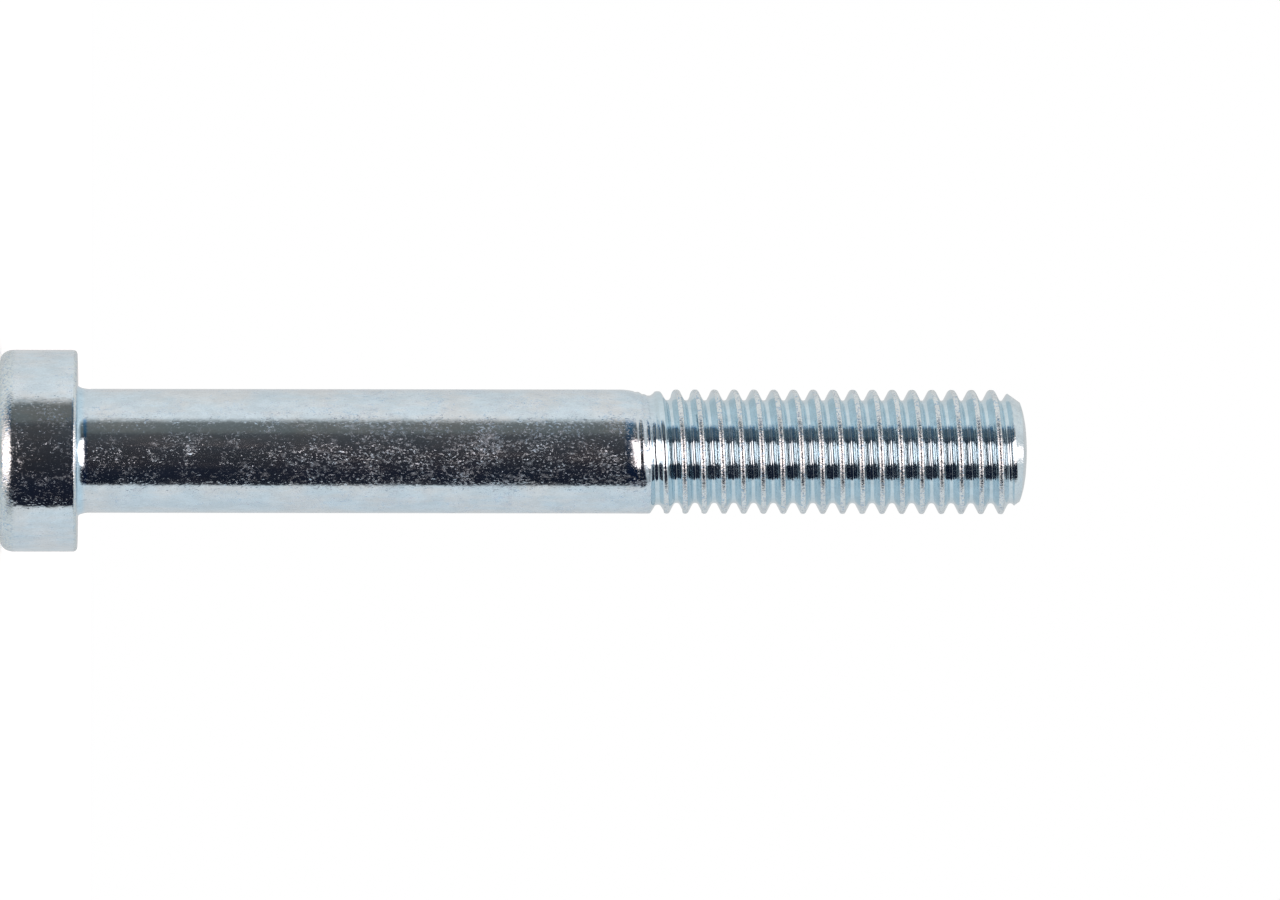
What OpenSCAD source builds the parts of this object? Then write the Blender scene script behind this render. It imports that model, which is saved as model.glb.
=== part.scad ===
// Low-head hexagon socket cap screw, part threaded, with a pilot recess under the socket.
// Z = 0 is the bearing face under the head. The shank runs up to the tip, the head lies below.

/* [Head] */
// Diameter of the head
head_d = 12.78; // [12:0.05:14]
// Height of the head, from the bearing face to its flat outer face
head_h = 4.9; // [4.5:0.1:8]
// Rounding of the edge round the outer face
face_edge_r = 0.6; // [0.2:0.05:1]
// Rounding of the edge round the bearing face
seat_edge_r = 0.28; // [0.1:0.02:0.5]
// Fillet where the shank meets the bearing face
neck_r = 0.4; // [0.1:0.05:0.8]

/* [Socket] */
// Size of the key, across the flats
key_af = 6; // [5:0.1:6.3]
// Depth of the flats at their corners, below the outer face
flats_h = 2.45; // [1.8:0.05:3]
// Slope of the socket's floor, in degrees from the outer face
floor_slope = 30; // [10:1:40]
// Diameter of the chamfer round the mouth
mouth_d = 7.4; // [7.3:0.05:8]
// Slope of the mouth's chamfer, in degrees from the outer face
mouth_slope = 30; // [20:1:45]
// Diameter of the pilot hole in the floor
pilot_d = 4.1; // [3:0.1:4.8]
// Depth of the pilot hole's wall below the outer face
pilot_h = 4.2; // [3.9:0.05:5]
// Slope of the pilot hole's pointed end, in degrees from the outer face
point_slope = 30; // [20:1:45]

/* [Shank] */
// Length from the bearing face to the tip
length = 60; // [45:1:90]
// Diameter of the plain shank
shank_d = 7.84; // [7.6:0.01:8]

/* [Thread] */
// Diameter over the crests
thread_d = 7.86; // [7.76:0.01:8]
// Diameter at the roots
root_d = 6.5; // [6.3:0.01:6.9]
// Distance between neighbouring crests
pitch = 1.25; // [1.1:0.01:1.6]
// Angle between the two flanks of a groove
flank_angle = 60; // [40:1:62]
// Length of the full thread, from the tip
thread_l = 22; // [16:0.5:36]
// Length of the run-out, between the plain shank and the full thread
runout_l = 3.2; // [2:0.1:4]
// How far the first crest dips below the shank in the run-out
runout_dip = 0.2; // [0.05:0.01:0.3]
// Direction in which the thread starts, in degrees about the axis
start_angle = 100; // [0:1:359]

/* [Tip] */
// Diameter where the tip's chamfer meets its rounded end
tip_d = 6.3; // [5.8:0.05:6.8]
// Length of the tip's chamfer
chamfer_l = 1.1; // [0.5:0.05:2]
// Height of the rounded end
dome_h = 0.4; // [0.1:0.05:1]

/* [Hidden] */
$fn = 80;
// Segments of the circles that round the edges
edge_fn = 24;

zinc = [0.78, 0.84, 0.88];

// A cut reaches this far past the face that it opens
overcut = 1;
// The threaded solid reaches this far down into the shank, and lies this far inside its edge
thread_lap = 0.5;
seam = 0.01;
// The socket's floor reaches this far into the pilot hole
floor_lap = 0.1;

face_z = -head_h;
floor_l = (key_af / sqrt(3) - pilot_d / 2 + floor_lap) * tan(floor_slope);
mouth_cone_d = mouth_d + 2 * overcut / tan(mouth_slope);
mouth_cone_h = mouth_cone_d / 2 * tan(mouth_slope);
point_h = pilot_d / 2 * tan(point_slope);

// Facets round one turn of the thread, and rings on the rounded end
turn_steps = 40;
dome_rings = 3;
// The rounded end falls off as this power of the radius, so its middle is nearly flat
dome_power = 3;
// The groove's depth grows as this power of the turns from its start, quickly at first
groove_power = 0.4;
// Part of the run-out over which the first crest dips and comes back up
dip_share = 1 / 3;
// Part of the run-out over which the groove reaches its full depth
groove_share = 1 / 2;
// Width of the plain band left between the shank and the helix, with a ring half way up it
start_band = 0.04;
// Corners that would rise past the chamfer stay this far apart below its upper end
squeeze = 0.01;

start_r = shank_d / 2 - seam;
thread_r = thread_d / 2;
root_r = root_d / 2;
tip_r = tip_d / 2;
thread_z = length - thread_l - runout_l;
dome_z = length - dome_h;
chamfer_z = dome_z - chamfer_l;

// One pitch, from the start of a crest: crest, flank, root and flank
flank_w = (thread_r - root_r) * tan(flank_angle / 2);
land_w = pitch / 2 - flank_w;
corners_z = [0, land_w, land_w + flank_w, 2 * land_w + flank_w];
corners = len(corners_z);
helix_z = thread_z + start_band;
helix_steps = floor((dome_z - corners * squeeze - helix_z) * turn_steps / pitch);

function clamp01(x) = max(0, min(1, x));
function mix(a, b, t) = a + (b - a) * t;
function ring_point(r, step, z) =
    let (a = start_angle + 360 * step / turn_steps) [r * cos(a), r * sin(a), z];

// How far through the run-out a step is, from 0 at its start to 1 at its end
function runout_at(step) = step * pitch / turn_steps / runout_l;
function crest_r(step) =
    mix(start_r, thread_r, clamp01(runout_at(step)))
    - runout_dip * sin(180 * clamp01(runout_at(step) / dip_share));
function groove_r(step) =
    mix(start_r, root_r, pow(clamp01(runout_at(step) / groove_share), groove_power));
function envelope_r(z) = mix(thread_r, tip_r, clamp01((z - chamfer_z) / chamfer_l));
function dome_height(r) = dome_h * (1 - pow(r / tip_r, dome_power));

// Corner of the helix: step counts along the turns, corner counts across the profile
function helix_point(step, corner) =
    let (free_z = helix_z + pitch * step / turn_steps + corners_z[corner])
    let (z = min(free_z, dome_z - (corners - corner) * squeeze))
    let (r = corner < 2 ? crest_r(step) : groove_r(step))
    ring_point(min(r, envelope_r(z)), step, z);

// Places in the list of points: two rings under the helix, the helix, a ring over it and the dome
first_helix = 2 * turn_steps;
last_turn = helix_steps - turn_steps;
top_ring = first_helix + (helix_steps + 1) * corners;
dome_middle = top_ring + (dome_rings + 1) * turn_steps;

function inside_shank(step) = step % turn_steps;
function below(step) = turn_steps + step % turn_steps;
function on_helix(step, corner) = first_helix + step * corners + corner;
// Here the step counts from the start of the last turn
function above(step, ring) = top_ring + ring * turn_steps + step % turn_steps;
function quad(a, b, c, d) = [[a, b, c], [a, c, d]];

function thread_points() = [
    for (z = [thread_z - thread_lap, thread_z + start_band / 2], step = [0 : turn_steps - 1])
        ring_point(start_r, step, z),
    for (step = [0 : helix_steps], corner = [0 : corners - 1]) helix_point(step, corner),
    for (ring = [0 : dome_rings], step = [0 : turn_steps - 1])
        let (r = tip_r * cos(90 * ring / (dome_rings + 1)))
        ring_point(r, last_turn + step, dome_z + dome_height(r)),
    [0, 0, length]
];

// Faces wind clockwise when seen from outside
function root_faces() = [
    for (step = [1 : turn_steps - 2])
        [inside_shank(0), inside_shank(step), inside_shank(step + 1)],
    for (step = [0 : turn_steps - 1])
        each quad(inside_shank(step), below(step), below(step + 1), inside_shank(step + 1))
];

function helix_faces() = [
    for (step = [0 : helix_steps - 1], corner = [0 : corners - 2])
        each quad(on_helix(step, corner), on_helix(step, corner + 1),
                  on_helix(step + 1, corner + 1), on_helix(step + 1, corner)),
    for (step = [0 : last_turn - 1])
        each quad(on_helix(step, corners - 1), on_helix(step + turn_steps, 0),
                  on_helix(step + turn_steps + 1, 0), on_helix(step + 1, corners - 1))
];

// The band between the flat ring and the first turn, closed at the first column's corners
function first_band_faces() =
    let (hub = on_helix(turn_steps - 1, 0))
    let (column = [
        below(turn_steps - 1),
        below(0),
        for (corner = [0 : corners - 1]) on_helix(0, corner),
        on_helix(turn_steps, 0)
    ])
    [
        for (step = [0 : turn_steps - 2])
            each quad(below(step), on_helix(step, 0), on_helix(step + 1, 0), below(step + 1)),
        for (i = [0 : len(column) - 2]) [hub, column[i + 1], column[i]]
    ];

// The band between the last turn and the ring over it, closed at the last column's corners
function last_band_faces() =
    let (hub = above(1, 0))
    let (column = [
        on_helix(last_turn + 1, corners - 1),
        on_helix(last_turn, corners - 1),
        for (corner = [0 : corners - 1]) on_helix(helix_steps, corner),
        above(0, 0)
    ])
    [
        for (step = [1 : turn_steps - 1])
            each quad(on_helix(last_turn + step, corners - 1), above(step, 0),
                      above(step + 1, 0), on_helix(last_turn + step + 1, corners - 1)),
        for (i = [0 : len(column) - 2]) [hub, column[i], column[i + 1]]
    ];

function dome_faces() = [
    for (ring = [0 : dome_rings - 1], step = [0 : turn_steps - 1])
        each quad(above(step, ring), above(step, ring + 1),
                  above(step + 1, ring + 1), above(step + 1, ring)),
    for (step = [0 : turn_steps - 1])
        [above(step, dome_rings), dome_middle, above(step + 1, dome_rings)]
];

// Right-hand thread with its run-out, chamfer and rounded end, as one closed surface
module thread() {
    polyhedron(
        points = thread_points(),
        faces = concat(root_faces(), first_band_faces(), helix_faces(),
                       last_band_faces(), dome_faces()),
        convexity = 10
    );
}

// What rounding takes off an outside corner at the origin that points along +X and +Y
module corner_waste(r) {
    difference() {
        translate([-r, -r]) square(r + overcut);
        translate([-r, -r]) circle(r, $fn = edge_fn);
    }
}

// What a fillet adds in an inside corner at the origin that opens along +X and +Y
module corner_fillet(r) {
    difference() {
        translate([-overcut, -overcut]) square(r + overcut);
        translate([r, r]) circle(r, $fn = edge_fn);
    }
}

// Half section of the head and the plain shank
module blank_section() {
    difference() {
        translate([0, face_z]) square([head_d / 2, head_h]);
        translate([head_d / 2, 0]) corner_waste(seat_edge_r);
        translate([head_d / 2, face_z]) mirror([0, 1]) corner_waste(face_edge_r);
    }
    translate([0, -overcut]) square([shank_d / 2, thread_z + overcut]);
    translate([shank_d / 2, 0]) corner_fillet(neck_r);
}

module blank() {
    rotate_extrude() blank_section();
}

// The hexagon down to its sloping floor, its mouth and the pilot hole, cut from the outer face
module socket() {
    translate([0, 0, face_z]) {
        intersection() {
            translate([0, 0, -overcut])
                cylinder(d = key_af / cos(30), h = overcut + flats_h + floor_l, $fn = 6);
            union() {
                translate([0, 0, -2 * overcut])
                    cylinder(d = 2 * key_af, h = 2 * overcut + flats_h);
                translate([0, 0, flats_h])
                    cylinder(d1 = 2 * key_af / sqrt(3), d2 = pilot_d - 2 * floor_lap, h = floor_l);
            }
        }
        translate([0, 0, -overcut]) cylinder(d1 = mouth_cone_d, d2 = 0, h = mouth_cone_h);
        translate([0, 0, -overcut]) cylinder(d = pilot_d, h = overcut + pilot_h);
        translate([0, 0, pilot_h]) cylinder(d1 = pilot_d, d2 = 0, h = point_h);
    }
}

module screw() {
    color(zinc) {
        difference() {
            blank();
            socket();
        }
        thread();
    }
}

screw();
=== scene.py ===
"""Studio scene of a low-head hexagon socket cap screw in bright zinc plating.

The screw stands on its head, with the thread up. The photographed screw lies on its side, so the
camera is rolled by a quarter turn: image right is +Z and image up is -X. Sizes are in millimetres
until the mesh is made.
"""

import math
from functools import reduce
from types import SimpleNamespace

import bmesh
import bpy
from mathutils import Matrix, Vector


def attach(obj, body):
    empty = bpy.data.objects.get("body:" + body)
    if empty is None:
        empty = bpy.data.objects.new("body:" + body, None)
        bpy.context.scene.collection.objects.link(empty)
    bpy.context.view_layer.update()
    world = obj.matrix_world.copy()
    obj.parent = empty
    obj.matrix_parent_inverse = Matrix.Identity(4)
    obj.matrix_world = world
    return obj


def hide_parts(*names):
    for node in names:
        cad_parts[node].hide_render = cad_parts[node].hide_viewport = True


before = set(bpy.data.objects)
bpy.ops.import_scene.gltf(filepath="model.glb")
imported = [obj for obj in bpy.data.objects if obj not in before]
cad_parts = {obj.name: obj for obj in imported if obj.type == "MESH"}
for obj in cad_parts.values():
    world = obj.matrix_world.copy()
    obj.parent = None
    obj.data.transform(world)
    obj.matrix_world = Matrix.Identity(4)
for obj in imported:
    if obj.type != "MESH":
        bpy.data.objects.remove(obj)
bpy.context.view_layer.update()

MM = 0.001

# Head and socket, as in the part's source
HEAD_R = 6.39
HEAD_H = 4.9
SEAT_EDGE = (0.28, 0.28)
KEY_AF = 6.0
FLATS_H = 2.45
FLOOR_SLOPE = math.radians(30)
MOUTH_R = 3.7
MOUTH_SLOPE = math.radians(30)
PILOT_R = 2.05
PILOT_H = 4.2
POINT_SLOPE = math.radians(30)
FACE_Z = -HEAD_H

# Shank, thread and tip, as in the part's source
LENGTH = 60.0
SHANK_R = 3.92
THREAD_R = 3.93
ROOT_R = 3.25
PITCH = 1.25
RUNOUT_L = 3.2
GROOVE_SHARE = 1 / 2
START_ANGLE = 100.0
START_BAND = 0.04
THREAD_Z = 34.8
TIP_R = 3.15
CHAMFER_L = 1.1
DOME_H = 0.4
DOME_POWER = 3
DOME_Z = LENGTH - DOME_H
CHAMFER_Z = DOME_Z - CHAMFER_L
GROOVE_DEPTH = THREAD_R - ROOT_R

# Forms finer than the source's. The head's outer edge and the neck are quarter ellipses, with
# their sizes across and along the axis, and the socket's edges are broken.
FACE_EDGE = (0.7, 0.85)
NECK = (0.3, 0.8)
BROKEN_EDGE = 0.05
CREST_CORNER_R = 0.17
ROOT_CORNER_R = 0.2
FLANK_HALF_ANGLE = math.radians(27.5)
GROOVE_POWER = 0.33
GROOVE_FADE = 0.08

# Run-out: from RAMP_Z the shank first slopes gently down into the groove, then ends at a flank,
# and the first crest isn't rolled up to its full height
RAMP_Z = 34.3
RAMP_POWER = 2
LOW_CREST_DIP = 0.1
START_LAG = 0.2

# Where that changes, in turns from the thread's start
RAMP_END = 0.42
FLANK_START = 0.72
LOW_CREST = (0.8, 1.7)
LAG_TURNS = 4

# Faint ring on the slope: its depth, and its places as shares of the way down
RIPPLE = 0.03
RIPPLE_START = 0.5
RIPPLE_LENGTH = 0.26
RIPPLE_FROM = 0.45
RIPPLE_FADE = 0.1

# Fineness of the mesh. The number of columns suits both the hexagon and the thread's start.
COLUMNS = 144
ARC_STEPS = 6
THREAD_ARC_STEPS = 4
DOME_RINGS = 7
BAND_ROWS = 24
SQUEEZE = 0.002
SMOOTH_ANGLE = math.radians(38)


def clamp01(x):
    return max(0.0, min(1.0, x))


def mix(a, b, t):
    return a + (b - a) * t


def ease(t):
    t = clamp01(t)
    return t * t * (3 - 2 * t)


def column_angle(column):
    return 2 * math.pi * column / COLUMNS


def ring(radius, z):
    """One point in each column. Each of the two is a number or a function of the angle."""
    points = []
    for column in range(COLUMNS):
        a = column_angle(column)
        r = radius(a) if callable(radius) else radius
        points.append((r * math.cos(a), r * math.sin(a), z(a) if callable(z) else z))
    return points


def arc_rings(centre_r, centre_z, size, start, end):
    """Rings along an arc of the section, angles in degrees from the outward direction."""
    across, along = size
    angles = [math.radians(mix(start, end, i / ARC_STEPS)) for i in range(ARC_STEPS + 1)]
    return [
        ring(centre_r + across * math.cos(a), centre_z + along * math.sin(a)) for a in angles
    ]


def hexagon_r(a):
    """Distance from the axis to the hexagon, which has a corner at angle 0."""
    sector = math.pi / 3
    return KEY_AF / 2 / math.cos(a % sector - sector / 2)


def floor_z(r):
    """Height of the socket's sloping floor at radius r."""
    corner_r = KEY_AF / math.sqrt(3)
    return FACE_Z + FLATS_H + (corner_r - r) * math.tan(FLOOR_SLOPE)


def chamfer_z(r):
    """Height of the mouth's chamfer at radius r."""
    return FACE_Z + (MOUTH_R - r) * math.tan(MOUTH_SLOPE)


def floor_ring(t):
    """Ring on the socket's floor, at share t of the way from the pilot hole to the hexagon."""
    return ring(
        lambda a: mix(PILOT_R, hexagon_r(a), t),
        lambda a: floor_z(mix(PILOT_R, hexagon_r(a), t)),
    )


def flats_ring(t):
    """Ring on the hexagon's flats, at share t of the way from the floor to the mouth."""
    return ring(
        hexagon_r,
        lambda a: mix(
            floor_z(hexagon_r(a)) - BROKEN_EDGE, chamfer_z(hexagon_r(a)) + BROKEN_EDGE, t
        ),
    )


def mouth_ring(t):
    """Ring on the mouth's chamfer, at share t of the way from the hexagon to the head's face."""
    return ring(
        lambda a: mix(hexagon_r(a), MOUTH_R, t),
        lambda a: chamfer_z(mix(hexagon_r(a), MOUTH_R, t)),
    )


def socket_rings():
    """From the pilot hole's point out to the mouth's chamfer."""
    pilot_z = FACE_Z + PILOT_H
    edge = BROKEN_EDGE
    rings = []
    for t in (0.12, 0.3, 0.5, 0.7, 0.9, 1.0):
        r = PILOT_R * t
        rings.append(ring(r, pilot_z + (PILOT_R - r) * math.tan(POINT_SLOPE)))
    rings.append(ring(PILOT_R, mix(pilot_z, floor_z(PILOT_R), 0.5)))
    rings.append(ring(PILOT_R, floor_z(PILOT_R) + edge))
    rings.append(ring(PILOT_R + edge, floor_z(PILOT_R + edge)))
    rings += [floor_ring(t) for t in (0.25, 0.5, 0.75)]
    rings.append(ring(lambda a: hexagon_r(a) - edge, lambda a: floor_z(hexagon_r(a) - edge)))
    rings += [flats_ring(t) for t in (0.0, 0.25, 0.5, 0.75, 1.0)]
    rings += [mouth_ring(t) for t in (0.12, 0.5, 0.88)]
    return rings


def outside_rings():
    """From the mouth over the head's face and rim to the end of the plain shank."""
    face_r = HEAD_R - FACE_EDGE[0]
    rings = [ring(MOUTH_R + BROKEN_EDGE, FACE_Z)]
    rings += [ring(mix(MOUTH_R, face_r, t), FACE_Z) for t in (0.35, 0.7)]
    rings += arc_rings(face_r, FACE_Z + FACE_EDGE[1], FACE_EDGE, -90, 0)
    rings += [ring(HEAD_R, mix(FACE_Z, 0, t)) for t in (0.35, 0.65)]
    rings += arc_rings(HEAD_R - SEAT_EDGE[0], -SEAT_EDGE[1], SEAT_EDGE, 0, 90)
    rings += [ring(mix(HEAD_R, SHANK_R, t), 0) for t in (0.4, 0.7)]
    rings += arc_rings(SHANK_R + NECK[0], NECK[1], NECK, 270, 180)
    rings += [ring(SHANK_R, mix(NECK[1], RAMP_Z, t)) for t in (0.1, 0.5, 0.9, 1.0)]
    return rings


def rounded_corner(z, share, r, before_land):
    """Rounding of radius r where a flank meets a land, which is a crest or a root.

    The sharp corner lies at height z, and its share of the depth is 1 for a crest and 0 for a
    root.
    """
    turn = math.pi / 2 - FLANK_HALF_ANGLE
    side = 1 if before_land else -1
    cut = -1 if share else 1
    points = []
    for i in range(THREAD_ARC_STEPS + 1):
        t = i / THREAD_ARC_STEPS
        swing = turn * (1 - t if before_land else t)
        along = z + side * (r * math.tan(turn / 2) - r * math.sin(swing))
        points.append((share + cut * r * (1 - math.cos(swing)) / GROOVE_DEPTH, along))
    return points


def flank_points(lower, upper):
    """Two points near the ends of a flank, so that it is shaded as flat."""
    return [tuple(mix(a, b, t) for a, b in zip(lower, upper)) for t in (0.1, 0.9)]


def thread_profile():
    """Points (share of the depth, height above the crest's start) over one pitch.

    They run along a crest, a flank, a root and a flank.
    """
    flank_w = GROOVE_DEPTH * math.tan(FLANK_HALF_ANGLE)
    land_w = PITCH / 2 - flank_w
    root_z = land_w + flank_w
    crest = rounded_corner(0.0, 1, CREST_CORNER_R, True)
    crest += rounded_corner(land_w, 1, CREST_CORNER_R, False)
    root = rounded_corner(root_z, 0, ROOT_CORNER_R, True)
    root += rounded_corner(root_z + land_w, 0, ROOT_CORNER_R, False)
    next_crest = (crest[0][0], crest[0][1] + PITCH)
    return crest + flank_points(crest[-1], root[0]) + root + flank_points(root[-1], next_crest)


# The profile climbs from column to column, one step to a column
PROFILE = thread_profile()
CORNERS = len(PROFILE)
FIRST_ROOT_CORNER = 2 * THREAD_ARC_STEPS + 4
NEXT_FLANK_CORNER = FIRST_ROOT_CORNER + THREAD_ARC_STEPS + 1
RAMP_CORNER = FIRST_ROOT_CORNER + THREAD_ARC_STEPS // 2
HELIX_Z = THREAD_Z + START_BAND - PROFILE[0][1]
HELIX_STEPS = int((DOME_Z - CORNERS * SQUEEZE - THREAD_Z - START_BAND) * COLUMNS / PITCH)
START_COLUMN = round(START_ANGLE * COLUMNS / 360)


def crest_r(step):
    turns = step / COLUMNS
    low = clamp01((turns - LOW_CREST[0]) / (LOW_CREST[1] - LOW_CREST[0]))
    rise = clamp01(turns * PITCH / RUNOUT_L)
    return mix(SHANK_R, THREAD_R, rise) - LOW_CREST_DIP * math.sin(math.pi * low)


def groove_r(step):
    through = step / COLUMNS * PITCH / RUNOUT_L / GROOVE_SHARE
    depth = clamp01(through) ** GROOVE_POWER * ease(through / GROOVE_FADE)
    return mix(SHANK_R, ROOT_R, depth)


def helix_z(step, corner):
    """Height of a corner of the helix. The first turns lag a little behind the even pitch."""
    turns = step / COLUMNS
    lag = START_LAG * (1 - ease(turns / LAG_TURNS))
    return HELIX_Z + PITCH * turns + lag + PROFILE[corner][1]


def profile_r(step, corner):
    """Radius of a corner of the helix. A crest's lower edge belongs to the groove under it."""
    groove_step = step - COLUMNS if corner <= THREAD_ARC_STEPS else step
    crest_step = step + COLUMNS if corner >= NEXT_FLANK_CORNER else step
    return mix(groove_r(groove_step), crest_r(crest_step), PROFILE[corner][0])


def envelope_r(z):
    return mix(THREAD_R, TIP_R, clamp01((z - CHAMFER_Z) / CHAMFER_L))


def at_step(r, step, z):
    a = column_angle(START_COLUMN + step)
    return (r * math.cos(a), r * math.sin(a), z)


def on_flank(step):
    """0 where the shank slopes down into the groove, 1 where it ends at a flank."""
    return ease((step / COLUMNS - RAMP_END) / (FLANK_START - RAMP_END))


def ramp_place(step, row):
    """Radius and height of a row on the slope from the plain shank down into the groove."""
    t = row / (BAND_ROWS + RAMP_CORNER)
    swing = math.sin(2 * math.pi * (t - RIPPLE_START) / RIPPLE_LENGTH)
    fade = ease((t - RIPPLE_FROM) / RIPPLE_FADE) * ease((1 - t) / RIPPLE_FADE)
    r = mix(SHANK_R, profile_r(step, RAMP_CORNER), t**RAMP_POWER) - RIPPLE * swing * fade
    return r, mix(RAMP_Z, helix_z(step, RAMP_CORNER), t)


def first_turn_point(step, row, r, z):
    """A point between the plain shank and the first groove, from its place if it is on a flank."""
    slope_r, slope_z = ramp_place(step, row)
    t = on_flank(step)
    return at_step(mix(slope_r, r, t), step, mix(slope_z, z, t))


def helix_point(step, corner):
    z = min(helix_z(step, corner), DOME_Z - (CORNERS - corner) * SQUEEZE)
    r = profile_r(step, corner)
    if step < COLUMNS and corner < RAMP_CORNER:
        return first_turn_point(step, BAND_ROWS + corner, r, z)
    return at_step(min(r, envelope_r(z)), step, z)


class Skin:
    """Points and faces of one surface, with rings and columns of points given by number."""

    def __init__(self):
        self.points = []
        self.faces = []

    def add(self, points):
        first = len(self.points)
        self.points += points
        return list(range(first, len(self.points)))

    def fan(self, middle, around):
        for i in range(len(around)):
            self.faces.append((middle, around[i], around[(i + 1) % len(around)]))

    def bridge(self, lower, upper):
        """Quads between two closed rings of as many points."""
        for i in range(len(lower)):
            j = (i + 1) % len(lower)
            self.faces.append((lower[i], lower[j], upper[j], upper[i]))

    def strip(self, left, right):
        """Quads between two open columns of as many points."""
        for i in range(len(left) - 1):
            self.faces.append((left[i], right[i], right[i + 1], left[i + 1]))

    def stitch(self, left, right):
        """Triangles between two open columns with the same ends in height."""
        i = j = 0
        while i < len(left) - 1 or j < len(right) - 1:
            left_next = self.points[left[i + 1]][2] if i < len(left) - 1 else math.inf
            right_next = self.points[right[j + 1]][2] if j < len(right) - 1 else math.inf
            if left_next < right_next:
                self.faces.append((left[i], right[j], left[i + 1]))
                i += 1
            else:
                self.faces.append((left[i], right[j], right[j + 1]))
                j += 1


def add_helix(skin):
    """The turns, as one list of columns. Each step's flank ends at the crest one turn above."""
    helix = [
        skin.add([helix_point(step, corner) for corner in range(CORNERS)])
        for step in range(HELIX_STEPS + 1)
    ]
    for left, right in zip(helix, helix[1:]):
        skin.strip(left, right)
    for step in range(HELIX_STEPS - COLUMNS):
        left = [helix[step][-1], helix[step + COLUMNS][0]]
        right = [helix[step + 1][-1], helix[step + 1 + COLUMNS][0]]
        skin.strip(left, right)
    return helix


def add_start(skin, shank_end, helix):
    """The surface between the plain shank and the first turn, one column for each step."""
    columns = []
    for step in range(COLUMNS):
        r, z = profile_r(step, 0), helix_z(step, 0)
        rows = []
        for row in range(1, BAND_ROWS):
            t = row / BAND_ROWS
            rows.append(first_turn_point(step, row, mix(SHANK_R, r, t), mix(RAMP_Z, z, t)))
        foot = shank_end[(START_COLUMN + step) % COLUMNS]
        columns.append([foot, *skin.add(rows), helix[step][0]])
    for left, right in zip(columns, columns[1:]):
        skin.strip(left, right)
    skin.stitch(columns[-1], [*columns[0][:-1], *helix[0], helix[COLUMNS][0]])


def add_tip(skin, helix):
    """The rounded end, and the surface between the last turn and it."""
    last = HELIX_STEPS - COLUMNS
    domes = []
    for i in range(DOME_RINGS):
        r = TIP_R * math.cos(math.pi / 2 * i / DOME_RINGS)
        z = DOME_Z + DOME_H * (1 - (r / TIP_R) ** DOME_POWER)
        domes.append(skin.add([at_step(r, last + step, z) for step in range(COLUMNS)]))
    for step in range(1, COLUMNS):
        left = [helix[last + step][-1], domes[0][step]]
        right = [helix[last + step + 1][-1], domes[0][(step + 1) % COLUMNS]]
        skin.strip(left, right)
    turn_end = [helix[last][-1], *helix[HELIX_STEPS], domes[0][0]]
    skin.stitch(turn_end, [helix[last + 1][-1], domes[0][1]])
    for lower, upper in zip(domes, domes[1:]):
        skin.bridge(lower, upper)
    middle = skin.add([(0, 0, LENGTH)])[0]
    skin.fan(middle, domes[-1])


def screw_skin():
    """The whole screw as one closed surface."""
    skin = Skin()
    point = skin.add([(0, 0, FACE_Z + PILOT_H + PILOT_R * math.tan(POINT_SLOPE))])[0]
    rings = [skin.add(points) for points in socket_rings() + outside_rings()]
    skin.fan(point, rings[0])
    for lower, upper in zip(rings, rings[1:]):
        skin.bridge(lower, upper)
    helix = add_helix(skin)
    add_start(skin, rings[-1], helix)
    add_tip(skin, helix)
    return skin


def build_screw(material):
    skin = screw_skin()
    mesh = bpy.data.meshes.new("screw_skin")
    mesh.from_pydata([[c * MM for c in p] for p in skin.points], [], skin.faces)
    work = bmesh.new()
    work.from_mesh(mesh)
    bmesh.ops.recalc_face_normals(work, faces=work.faces)
    work.to_mesh(mesh)
    work.free()
    mesh.polygons.foreach_set("use_smooth", [True] * len(mesh.polygons))
    mesh.set_sharp_from_angle(angle=SMOOTH_ANGLE)
    mesh.materials.append(material)
    screw = bpy.data.objects.new("cap_screw", mesh)
    bpy.context.scene.collection.objects.link(screw)
    return screw


# Places of a Mix node's two inputs and its result
MIX_SOCKETS = {"FLOAT": (2, 3, 0), "RGBA": (6, 7, 2)}


class Nodes:
    """The nodes of one material or of the world.

    An argument is a plain value or another node's output. Each method but add returns an output.
    """

    def __init__(self, owner):
        owner.use_nodes = True
        self.tree = owner.node_tree
        self.tree.nodes.clear()

    def add(self, kind, inputs=None, **settings):
        node = self.tree.nodes.new("ShaderNode" + kind)
        for name, value in settings.items():
            setattr(node, name, value)
        for name, value in (inputs or {}).items():
            if isinstance(value, bpy.types.NodeSocket):
                self.tree.links.new(value, node.inputs[name])
            else:
                node.inputs[name].default_value = value
        return node

    def math(self, operation, a, b=0.0):
        return self.add("Math", {0: a, 1: b}, operation=operation).outputs[0]

    def product(self, *values):
        return reduce(lambda a, b: self.math("MULTIPLY", a, b), values)

    def total(self, *values):
        return reduce(lambda a, b: self.math("ADD", a, b), values)

    def largest(self, *values):
        return reduce(lambda a, b: self.math("MAXIMUM", a, b), values)

    def vector(self, operation, a, b):
        return self.add("VectorMath", {0: a, 1: b}, operation=operation).outputs[0]

    def scaled(self, vector, factor):
        inputs = {0: vector, "Scale": factor}
        return self.add("VectorMath", inputs, operation="SCALE").outputs[0]

    def ramp(self, value, start, end, low=0.0, high=1.0):
        """Eases from low to high while the value goes from start to end."""
        inputs = {
            "Value": value, "From Min": start, "From Max": end, "To Min": low, "To Max": high
        }
        node = self.add("MapRange", inputs, interpolation_type="SMOOTHSTEP")
        return node.outputs["Result"]

    def mix(self, factor, a, b, kind="RGBA"):
        a_place, b_place, result = MIX_SOCKETS[kind]
        node = self.add("Mix", {0: factor, a_place: a, b_place: b}, data_type=kind)
        return node.outputs[result]

    def noise(self, vector, scale, detail, roughness):
        inputs = {"Vector": vector, "Scale": scale, "Detail": detail, "Roughness": roughness}
        return self.add("TexNoise", inputs).outputs["Fac"]


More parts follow.
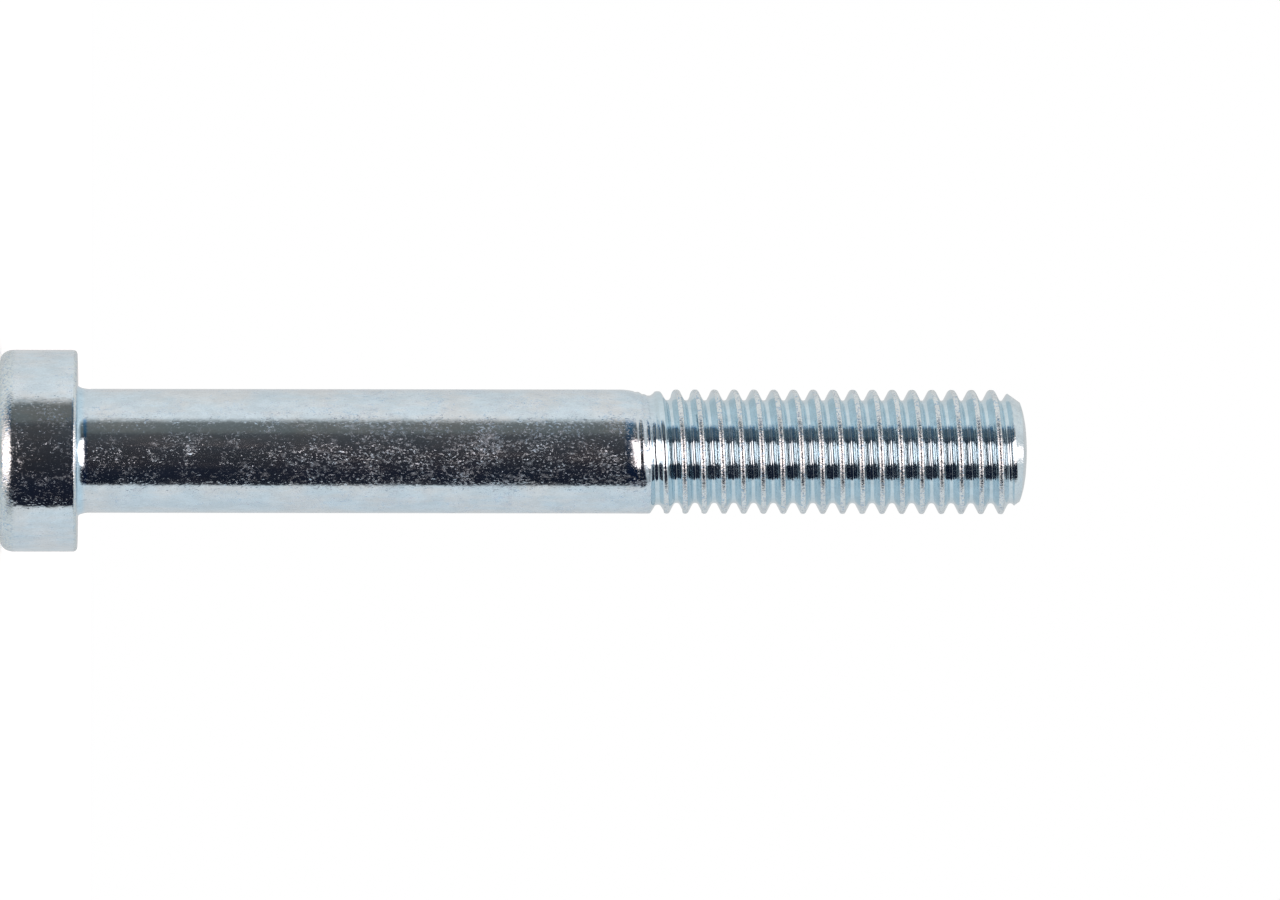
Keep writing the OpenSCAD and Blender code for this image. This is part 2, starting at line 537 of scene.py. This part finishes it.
ZINC_BLUE = (0.655, 0.765, 0.84, 1)
ZINC_WARM = (0.725, 0.77, 0.80, 1)
THREAD_BLUE = (0.635, 0.765, 0.832, 1)
# Painted reflection: the neck fillet is tinted bluer, standing in for the bearing face reflected
# in it
NECK_PAINTED_REFLECTION_BLUE = (0.58, 0.76, 0.88, 1)
# Painted shade: the socket's inside is coloured darker and bluer than the rest of the zinc
SOCKET_PAINTED_SHADE_BLUE = (0.50, 0.65, 0.79, 1)
WORN_GREY = (0.68, 0.75, 0.77, 1)
CREST_GREY = (0.75, 0.80, 0.815, 1)
SPOT_BLUE = (0.42, 0.57, 0.71, 1)
SPOT_GREY = (0.51, 0.58, 0.67, 1)

# Zones of the finish, and of the painted reflection on the neck and the painted shade in the
# socket, each with the height or radius at which it begins and is complete. A pair of pairs is a
# range of heights and one of radii.
HEAD_HEIGHTS = (0.2, -0.2)
THREAD_HEIGHTS = (35.9, 36.6)
SMOOTH_THREAD_HEIGHTS = (35.0, 36.6)
TIP_HEIGHTS = (58.75, 58.95)
CREST_RADII = (3.83, 3.90)
FACE_EDGE_ZONE = ((-3.75, -4.25), (5.7, 5.85))
SEAT_EDGE_ZONE = ((-0.24, -0.16), (5.6, 6.0))
# Where the painted bluish reflection on the neck goes
NECK_PAINTED_REFLECTION_ZONE = ((0.6, 0.2), (4.9, 4.5))
# Where the painted shade in the socket goes; the turned rings use this zone too
SOCKET_ZONE = ((-0.4, -0.6), (3.8, 3.6))
TIP_WEAR = 0.4

# Patterns of the finish: scale to the millimetre, detail and roughness. Some are drawn out along
# the axis by the stretches below them.
GRAIN = (9.0, 2, 0.6)
MOTTLE = (4.0, 2, 0.5)
STREAKS = (2.2, 4, 0.6)
CLUSTERS = (0.6, 2, 0.5)
BLOTCHES = (0.4, 3, 0.5)
CLOUDS = (1.3, 3, 0.6)
DOTS = (7.0, 1, 0.5)
SPOT_KINDS = (2.5, 1, 0.5)
TURNED_RINGS = (6.0, 3, 0.5)
FACETS_SCALE = 8.0
DRAWN = (1, 1, 0.12)
OVAL = (1, 1, 0.6)

# Levels of a pattern between which its effect grows from none to all
FINE_SPOT_LEVELS = (0.65, 0.87)
COARSE_SPOT_LEVELS = (0.66, 0.92)
WARM_LEVELS = (0.66, 1.0)
DOT_LEVELS = (0.52, 0.66)
GREY_SPOT_LEVELS = (0.4, 0.6)

# Two levels of a pattern, then the brightness or the roughness at each of them
GRAIN_SHADE = (0.3, 0.7, 0.935, 1.03)
CLOUD_SHADE = (0.35, 0.65, 0.955, 1.045)
STREAK_ROUGHNESS = (0.3, 0.75, 0.09, 0.15)
CREST_ROUGHNESS = (0.35, 0.65, 0.10, 0.36)
HEAD_EDGE_ROUGHNESS = (0.3, 0.7, 0.10, 0.28)

# The spots come in clusters, grow more frequent along the shank and are scarcer on the head
CLUSTER_WEIGHT = 0.33
SPOT_GROWTH_HEIGHTS = (6.0, 20.0)
SPOT_GROWTH = (-0.02, 0.02)
SPOT_HEAD_SHIFT = (-0.06, -0.07)

# Strength of the coarse spots, of the spots on the thread, of the streaks in the tint and of the
# plain finish's roughness on the head and on the thread
COARSE_SPOT_SHARE = 0.6
THREAD_SPOT_SHARE = 0.3
STREAK_SHARE = 0.6
HEAD_ROUGHNESS_SHARE = 0.6
THREAD_ROUGHNESS_SHARE = 0.5

# What a spot takes off the metal and adds to the roughness and to the facets' lean
SPOT_DULLNESS = 0.3
SPOT_ROUGHNESS = 0.20
SPOT_LEAN = 0.26
PLAIN_LEAN = 0.02

# Depth of the spots and height of the scuffs on worn places, in steps of RELIEF millimetres
SPOT_DEPTH = 0.5
SCUFF_HEIGHT = 5.0
RELIEF = 0.006


def plating(nodes):
    """Places in millimetres, and the zones and patterns of the finish and of the painted
    reflection and shade, each from 0 to 1.
    """
    mm = nodes.scaled(nodes.add("TexCoord").outputs["Object"], 1 / MM)
    drawn = nodes.vector("MULTIPLY", mm, DRAWN)
    oval = nodes.vector("MULTIPLY", mm, OVAL)
    across = nodes.vector("MULTIPLY", mm, (1, 1, 0))
    radius = nodes.add("VectorMath", {0: across}, operation="LENGTH").outputs["Value"]
    height = nodes.add("SeparateXYZ", {0: mm}).outputs["Z"]

    def zone(heights, radii):
        return nodes.product(nodes.ramp(height, *heights), nodes.ramp(radius, *radii))

    thread = nodes.ramp(height, *THREAD_HEIGHTS)
    crest = nodes.product(thread, nodes.ramp(radius, *CREST_RADII))
    tip = nodes.ramp(height, *TIP_HEIGHTS, 0.0, TIP_WEAR)
    head_edge = nodes.largest(zone(*FACE_EDGE_ZONE), zone(*SEAT_EDGE_ZONE))

    grain = nodes.noise(oval, *GRAIN)
    mottle = nodes.noise(oval, *MOTTLE)
    clusters = nodes.total(
        nodes.product(nodes.noise(mm, *CLUSTERS), CLUSTER_WEIGHT),
        nodes.ramp(height, *HEAD_HEIGHTS, *SPOT_HEAD_SHIFT),
        nodes.ramp(height, *SPOT_GROWTH_HEIGHTS, *SPOT_GROWTH),
    )
    fine = nodes.ramp(nodes.total(grain, clusters), *FINE_SPOT_LEVELS)
    coarse = nodes.ramp(
        nodes.total(mottle, clusters), *COARSE_SPOT_LEVELS, 0.0, COARSE_SPOT_SHARE
    )
    fainter = nodes.ramp(height, *THREAD_HEIGHTS, 1.0, THREAD_SPOT_SHARE)

    return SimpleNamespace(
        mm=mm,
        oval=oval,
        radius=radius,
        height=height,
        thread=thread,
        # Where the neck's painted reflection goes
        neck=zone(*NECK_PAINTED_REFLECTION_ZONE),
        # Where the socket's painted shade and its turned rings go
        socket=zone(*SOCKET_ZONE),
        head_edge=head_edge,
        worn=nodes.largest(crest, tip, head_edge),
        grain=grain,
        streaks=nodes.noise(drawn, *STREAKS),
        spots=nodes.product(nodes.largest(fine, coarse), fainter),
    )


def zinc_color(nodes, finish):
    blotches = nodes.noise(finish.mm, *BLOTCHES)
    tint = nodes.total(blotches, nodes.product(finish.streaks, STREAK_SHARE))
    color = nodes.mix(nodes.ramp(tint, *WARM_LEVELS), ZINC_BLUE, ZINC_WARM)
    color = nodes.mix(finish.thread, color, THREAD_BLUE)
    # Painted reflection: a bluer tint on the neck
    color = nodes.mix(finish.neck, color, NECK_PAINTED_REFLECTION_BLUE)
    color = nodes.mix(finish.worn, color, nodes.mix(finish.thread, WORN_GREY, CREST_GREY))
    # Painted shade: darker, bluer colour inside the socket
    color = nodes.mix(finish.socket, color, SOCKET_PAINTED_SHADE_BLUE)

    dots = nodes.ramp(nodes.noise(finish.mm, *DOTS), *DOT_LEVELS)
    spotted = nodes.largest(finish.spots, nodes.product(finish.worn, dots))
    greyness = nodes.ramp(nodes.noise(finish.mm, *SPOT_KINDS), *GREY_SPOT_LEVELS)
    color = nodes.mix(spotted, color, nodes.mix(greyness, SPOT_BLUE, SPOT_GREY))

    clouds = nodes.ramp(nodes.noise(finish.oval, *CLOUDS), *CLOUD_SHADE)
    return nodes.scaled(color, nodes.product(nodes.ramp(finish.grain, *GRAIN_SHADE), clouds))


def zinc_roughness(nodes, finish):
    smooth = nodes.product(
        nodes.ramp(finish.streaks, *STREAK_ROUGHNESS),
        nodes.ramp(finish.height, *HEAD_HEIGHTS, 1.0, HEAD_ROUGHNESS_SHARE),
        nodes.ramp(finish.height, *SMOOTH_THREAD_HEIGHTS, 1.0, THREAD_ROUGHNESS_SHARE),
    )
    spotted = nodes.total(smooth, nodes.product(finish.spots, SPOT_ROUGHNESS))
    crest = nodes.ramp(finish.grain, *CREST_ROUGHNESS)
    head_edge = nodes.ramp(finish.grain, *HEAD_EDGE_ROUGHNESS)
    worn = nodes.mix(finish.head_edge, crest, head_edge, "FLOAT")
    return nodes.mix(finish.worn, spotted, worn, "FLOAT")


def zinc_normal(nodes, finish):
    """Scuffs, pits and the socket's turned rings as relief, over small facets that lean apart."""
    outward = nodes.add("CombineXYZ", {"X": finish.radius}).outputs[0]
    turned = nodes.product(finish.socket, nodes.noise(outward, *TURNED_RINGS))
    scuffs = nodes.product(finish.worn, finish.grain, SCUFF_HEIGHT)
    pits = nodes.product(finish.spots, SPOT_DEPTH)
    relief = nodes.math("SUBTRACT", nodes.total(scuffs, turned), pits)
    bump = nodes.add("Bump", {"Strength": 1.0, "Distance": RELIEF * MM, "Height": relief})

    tiles = nodes.add("TexVoronoi", {"Vector": finish.oval, "Scale": FACETS_SCALE})
    facets = tiles.outputs["Color"]
    lean = nodes.vector("SUBTRACT", facets, (0.5, 0.5, 0.5))
    lean = nodes.scaled(lean, nodes.total(nodes.product(finish.spots, SPOT_LEAN), PLAIN_LEAN))
    normal = nodes.vector("ADD", bump.outputs["Normal"], lean)
    return nodes.add("VectorMath", {0: normal}, operation="NORMALIZE").outputs[0]


def zinc_material():
    """Bright zinc with a pale blue passivation, drawn streaks, fine rough spots and worn edges,
    with a painted bluish reflection on the neck and painted shade in the socket.
    """
    material = bpy.data.materials.new("zinc_plating")
    nodes = Nodes(material)
    finish = plating(nodes)
    dullness = nodes.product(finish.spots, SPOT_DULLNESS)
    surface = nodes.add(
        "BsdfPrincipled",
        {
            "Base Color": zinc_color(nodes, finish),
            "Metallic": nodes.math("SUBTRACT", 1.0, dullness),
            "Roughness": zinc_roughness(nodes, finish),
            "Normal": zinc_normal(nodes, finish),
        },
    )
    nodes.add("OutputMaterial", {"Surface": surface.outputs[0]})
    return material


# The floor in metres, how far it lies under the screw, and what makes it white to the camera
FLOOR_RADIUS = 0.5
FLOOR_GAP = 0.005 * MM
FLOOR_SEGMENTS = 96
FLOOR_GREY = (0.8, 0.8, 0.8, 1)
FLOOR_GLOW = 0.38


def floor_disc():
    """White floor that keeps the screw's shadow. Reflections pass it, to the studio round it."""
    work = bmesh.new()
    bmesh.ops.create_circle(work, cap_ends=True, segments=FLOOR_SEGMENTS, radius=FLOOR_RADIUS)
    mesh = bpy.data.meshes.new("floor")
    work.to_mesh(mesh)
    work.free()
    floor = bpy.data.objects.new("floor", mesh)
    floor.location.z = FACE_Z * MM - FLOOR_GAP
    floor.visible_glossy = False
    floor.visible_shadow = False
    bpy.context.scene.collection.objects.link(floor)

    material = bpy.data.materials.new("white_floor")
    nodes = Nodes(material)
    paint = nodes.add("BsdfDiffuse", {"Color": FLOOR_GREY})
    seen = nodes.add("LightPath").outputs["Is Camera Ray"]
    glow = nodes.add("Emission", {"Strength": nodes.product(seen, FLOOR_GLOW)})
    both = nodes.add("AddShader", {0: paint.outputs[0], 1: glow.outputs[0]})
    nodes.add("OutputMaterial", {"Surface": both.outputs[0]})
    mesh.materials.append(material)


# The studio as the screw reflects it. A direction has an azimuth in degrees, where 0 is the
# camera's side and 90 is +X, and a tilt in degrees, where 90 is the way the tip points.
STUDIO_ROUND = (
    (-180, (0.66, 0.66, 0.66)),
    (-110, (0.83, 0.83, 0.82)),
    (-65, (0.91, 0.90, 0.89)),
    (-54, (0.18, 0.185, 0.18)),
    (-36, (0.150, 0.155, 0.150)),
    (-30, (0.078, 0.078, 0.082)),
    (-8, (0.045, 0.045, 0.051)),
    (12, (0.028, 0.028, 0.034)),
    (40, (0.012, 0.015, 0.026)),
    (66, (0.008, 0.011, 0.021)),
    (68, (0.80, 0.82, 0.83)),
    (110, (0.74, 0.77, 0.79)),
    (180, (0.66, 0.66, 0.66)),
)

# Both sides of the dark part, and where it turns navy: away from level, but not far up
FRONT_AZIMUTHS = ((-66, -56), (69, 65))
NAVY_LEVELS = (6, 12)
NAVY_TILTS = (24, 18)
NO_TINT = (1, 1, 1, 1)
NAVY_TINT = (0.28, 0.66, 1.12, 1)

# Tilts over which the dark part, or the whole studio, changes to a colour
DARK_PART_ENDS = (
    ((-22, -32), (0.30, 0.295, 0.29, 1)),
    ((33, 48), (0.50, 0.51, 0.52, 1)),
)
STUDIO_ENDS = (
    ((50, 75), (0.80, 0.80, 0.80, 1)),
    ((-62, -86), (0.45, 0.44, 0.43, 1)),
)

# The bright strip upright in the middle of the dark part. It leaves out the level middle, where
# its ends are round, and on the head's side it is wider and turned away a little.
STRIP_WHITE = (2.6, 2.17, 2.06, 1)
STRIP_AZIMUTH = 4.0
STRIP_HALF_WIDTH = 26.0
STRIP_LEVEL = 24.0
STRIP_ROUNDING = 15.0
STRIP_EDGE = (1.08, 0.94)
STRIP_HEAD_SIDE = (-25, -45)
STRIP_TURN = 4.0
STRIP_WIDENING = 7.0
STRIP_HEAD_START = (0, -5)
STRIP_HEAD_END = (-80, -71)
STRIP_TIP_START = (17, 22)


def strip_mask(nodes, azimuth, tilt, level):
    middle = nodes.ramp(tilt, *STRIP_HEAD_SIDE, STRIP_AZIMUTH, STRIP_AZIMUTH + STRIP_TURN)
    half_width = nodes.ramp(
        tilt, *STRIP_HEAD_SIDE, STRIP_HALF_WIDTH, STRIP_HALF_WIDTH + STRIP_WIDENING
    )
    beside = nodes.math("DIVIDE", nodes.math("SUBTRACT", azimuth, middle), half_width)
    short = nodes.math("DIVIDE", nodes.math("SUBTRACT", STRIP_LEVEL, level), STRIP_ROUNDING)
    squares = nodes.total(
        nodes.math("POWER", nodes.math("ABSOLUTE", beside), 2.0),
        nodes.math("POWER", nodes.largest(short, 0.0), 2.0),
    )
    inside = nodes.ramp(nodes.math("SQRT", squares), *STRIP_EDGE)
    begun = nodes.largest(nodes.ramp(tilt, *STRIP_HEAD_START), nodes.ramp(tilt, *STRIP_TIP_START))
    return nodes.product(inside, begun, nodes.ramp(tilt, *STRIP_HEAD_END))


def studio_color(nodes):
    direction = nodes.add("TexCoord").outputs["Generated"]
    axes = nodes.add("SeparateXYZ", {0: direction}).outputs
    toward = nodes.product(axes["Y"], -1.0)
    azimuth = nodes.math("DEGREES", nodes.math("ARCTAN2", axes["X"], toward))
    tilt = nodes.math("DEGREES", nodes.math("ARCSINE", axes["Z"]))
    level = nodes.math("ABSOLUTE", tilt)

    turned = nodes.add("MapRange", {"Value": azimuth, "From Min": -180, "From Max": 180})
    ramp = nodes.add("ValToRGB", {"Fac": turned.outputs["Result"]})
    elements = ramp.color_ramp.elements
    while len(elements) < len(STUDIO_ROUND):
        elements.new(0.5)
    for element, (angle, brightness) in zip(elements, STUDIO_ROUND):
        element.position = (angle + 180) / 360
        element.color = (*brightness, 1)

    in_front = nodes.product(*(nodes.ramp(azimuth, *side) for side in FRONT_AZIMUTHS))
    navy = nodes.product(
        in_front, nodes.ramp(level, *NAVY_LEVELS), nodes.ramp(tilt, *NAVY_TILTS)
    )
    tint = nodes.mix(navy, NO_TINT, NAVY_TINT)
    studio = nodes.vector("MULTIPLY", ramp.outputs["Color"], tint)
    for tilts, color in DARK_PART_ENDS:
        studio = nodes.mix(nodes.product(in_front, nodes.ramp(tilt, *tilts)), studio, color)
    for tilts, color in STUDIO_ENDS:
        studio = nodes.mix(nodes.ramp(tilt, *tilts), studio, color)
    return nodes.mix(strip_mask(nodes, azimuth, tilt, level), studio, STRIP_WHITE)


def studio_world():
    """White to the camera. Reflections see a studio that is pale all round but for the dark part
    behind the camera, which has a bright strip.
    """
    world = bpy.data.worlds.new("studio")
    bpy.context.scene.world = world
    nodes = Nodes(world)
    lighting = nodes.add("Background", {"Color": studio_color(nodes)})
    backdrop = nodes.add("Background", {"Color": (1, 1, 1, 1)})
    seen = nodes.add("LightPath").outputs["Is Camera Ray"]
    either = nodes.add("MixShader", {0: seen, 1: lighting.outputs[0], 2: backdrop.outputs[0]})
    nodes.add("OutputWorld", {"Surface": either.outputs[0]})


# The photograph is 1280 pixels wide, with the head's face at its left edge
IMAGE_W = 1280
IMAGE_H = 900
PX_PER_MM = 15.8
AXIS_ROW = 451
CAMERA_DISTANCE = 600
CAMERA_Z = 7.7
CAMERA_ROLL = math.radians(0.08)
CLIP_START = 0.1
CLIP_END = 20
SENSOR = 36


def photo_camera():
    data = bpy.data.cameras.new("camera")
    data.sensor_width = SENSOR
    data.lens = SENSOR * CAMERA_DISTANCE / (IMAGE_W / PX_PER_MM)
    data.clip_start = CLIP_START
    data.clip_end = CLIP_END
    middle_z = IMAGE_W / 2 / PX_PER_MM + FACE_Z
    data.shift_x = (middle_z - CAMERA_Z) * PX_PER_MM / IMAGE_W
    camera = bpy.data.objects.new("camera", data)
    bpy.context.scene.collection.objects.link(camera)
    image_right, image_up, backward = Vector((0, 0, 1)), Vector((-1, 0, 0)), Vector((0, -1, 0))
    turn = Matrix((image_right, image_up, backward)).transposed().to_4x4()
    roll = Matrix.Rotation(CAMERA_ROLL, 4, "Z")
    x = (IMAGE_H / 2 - AXIS_ROW) / PX_PER_MM
    place = Matrix.Translation(Vector((x, -CAMERA_DISTANCE, CAMERA_Z)) * MM)
    camera.matrix_world = place @ turn @ roll
    bpy.context.scene.camera = camera


screw = build_screw(zinc_material())
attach(screw, "root")
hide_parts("screw")
floor_disc()
studio_world()
photo_camera()
bpy.context.scene.view_settings.view_transform = "Standard"
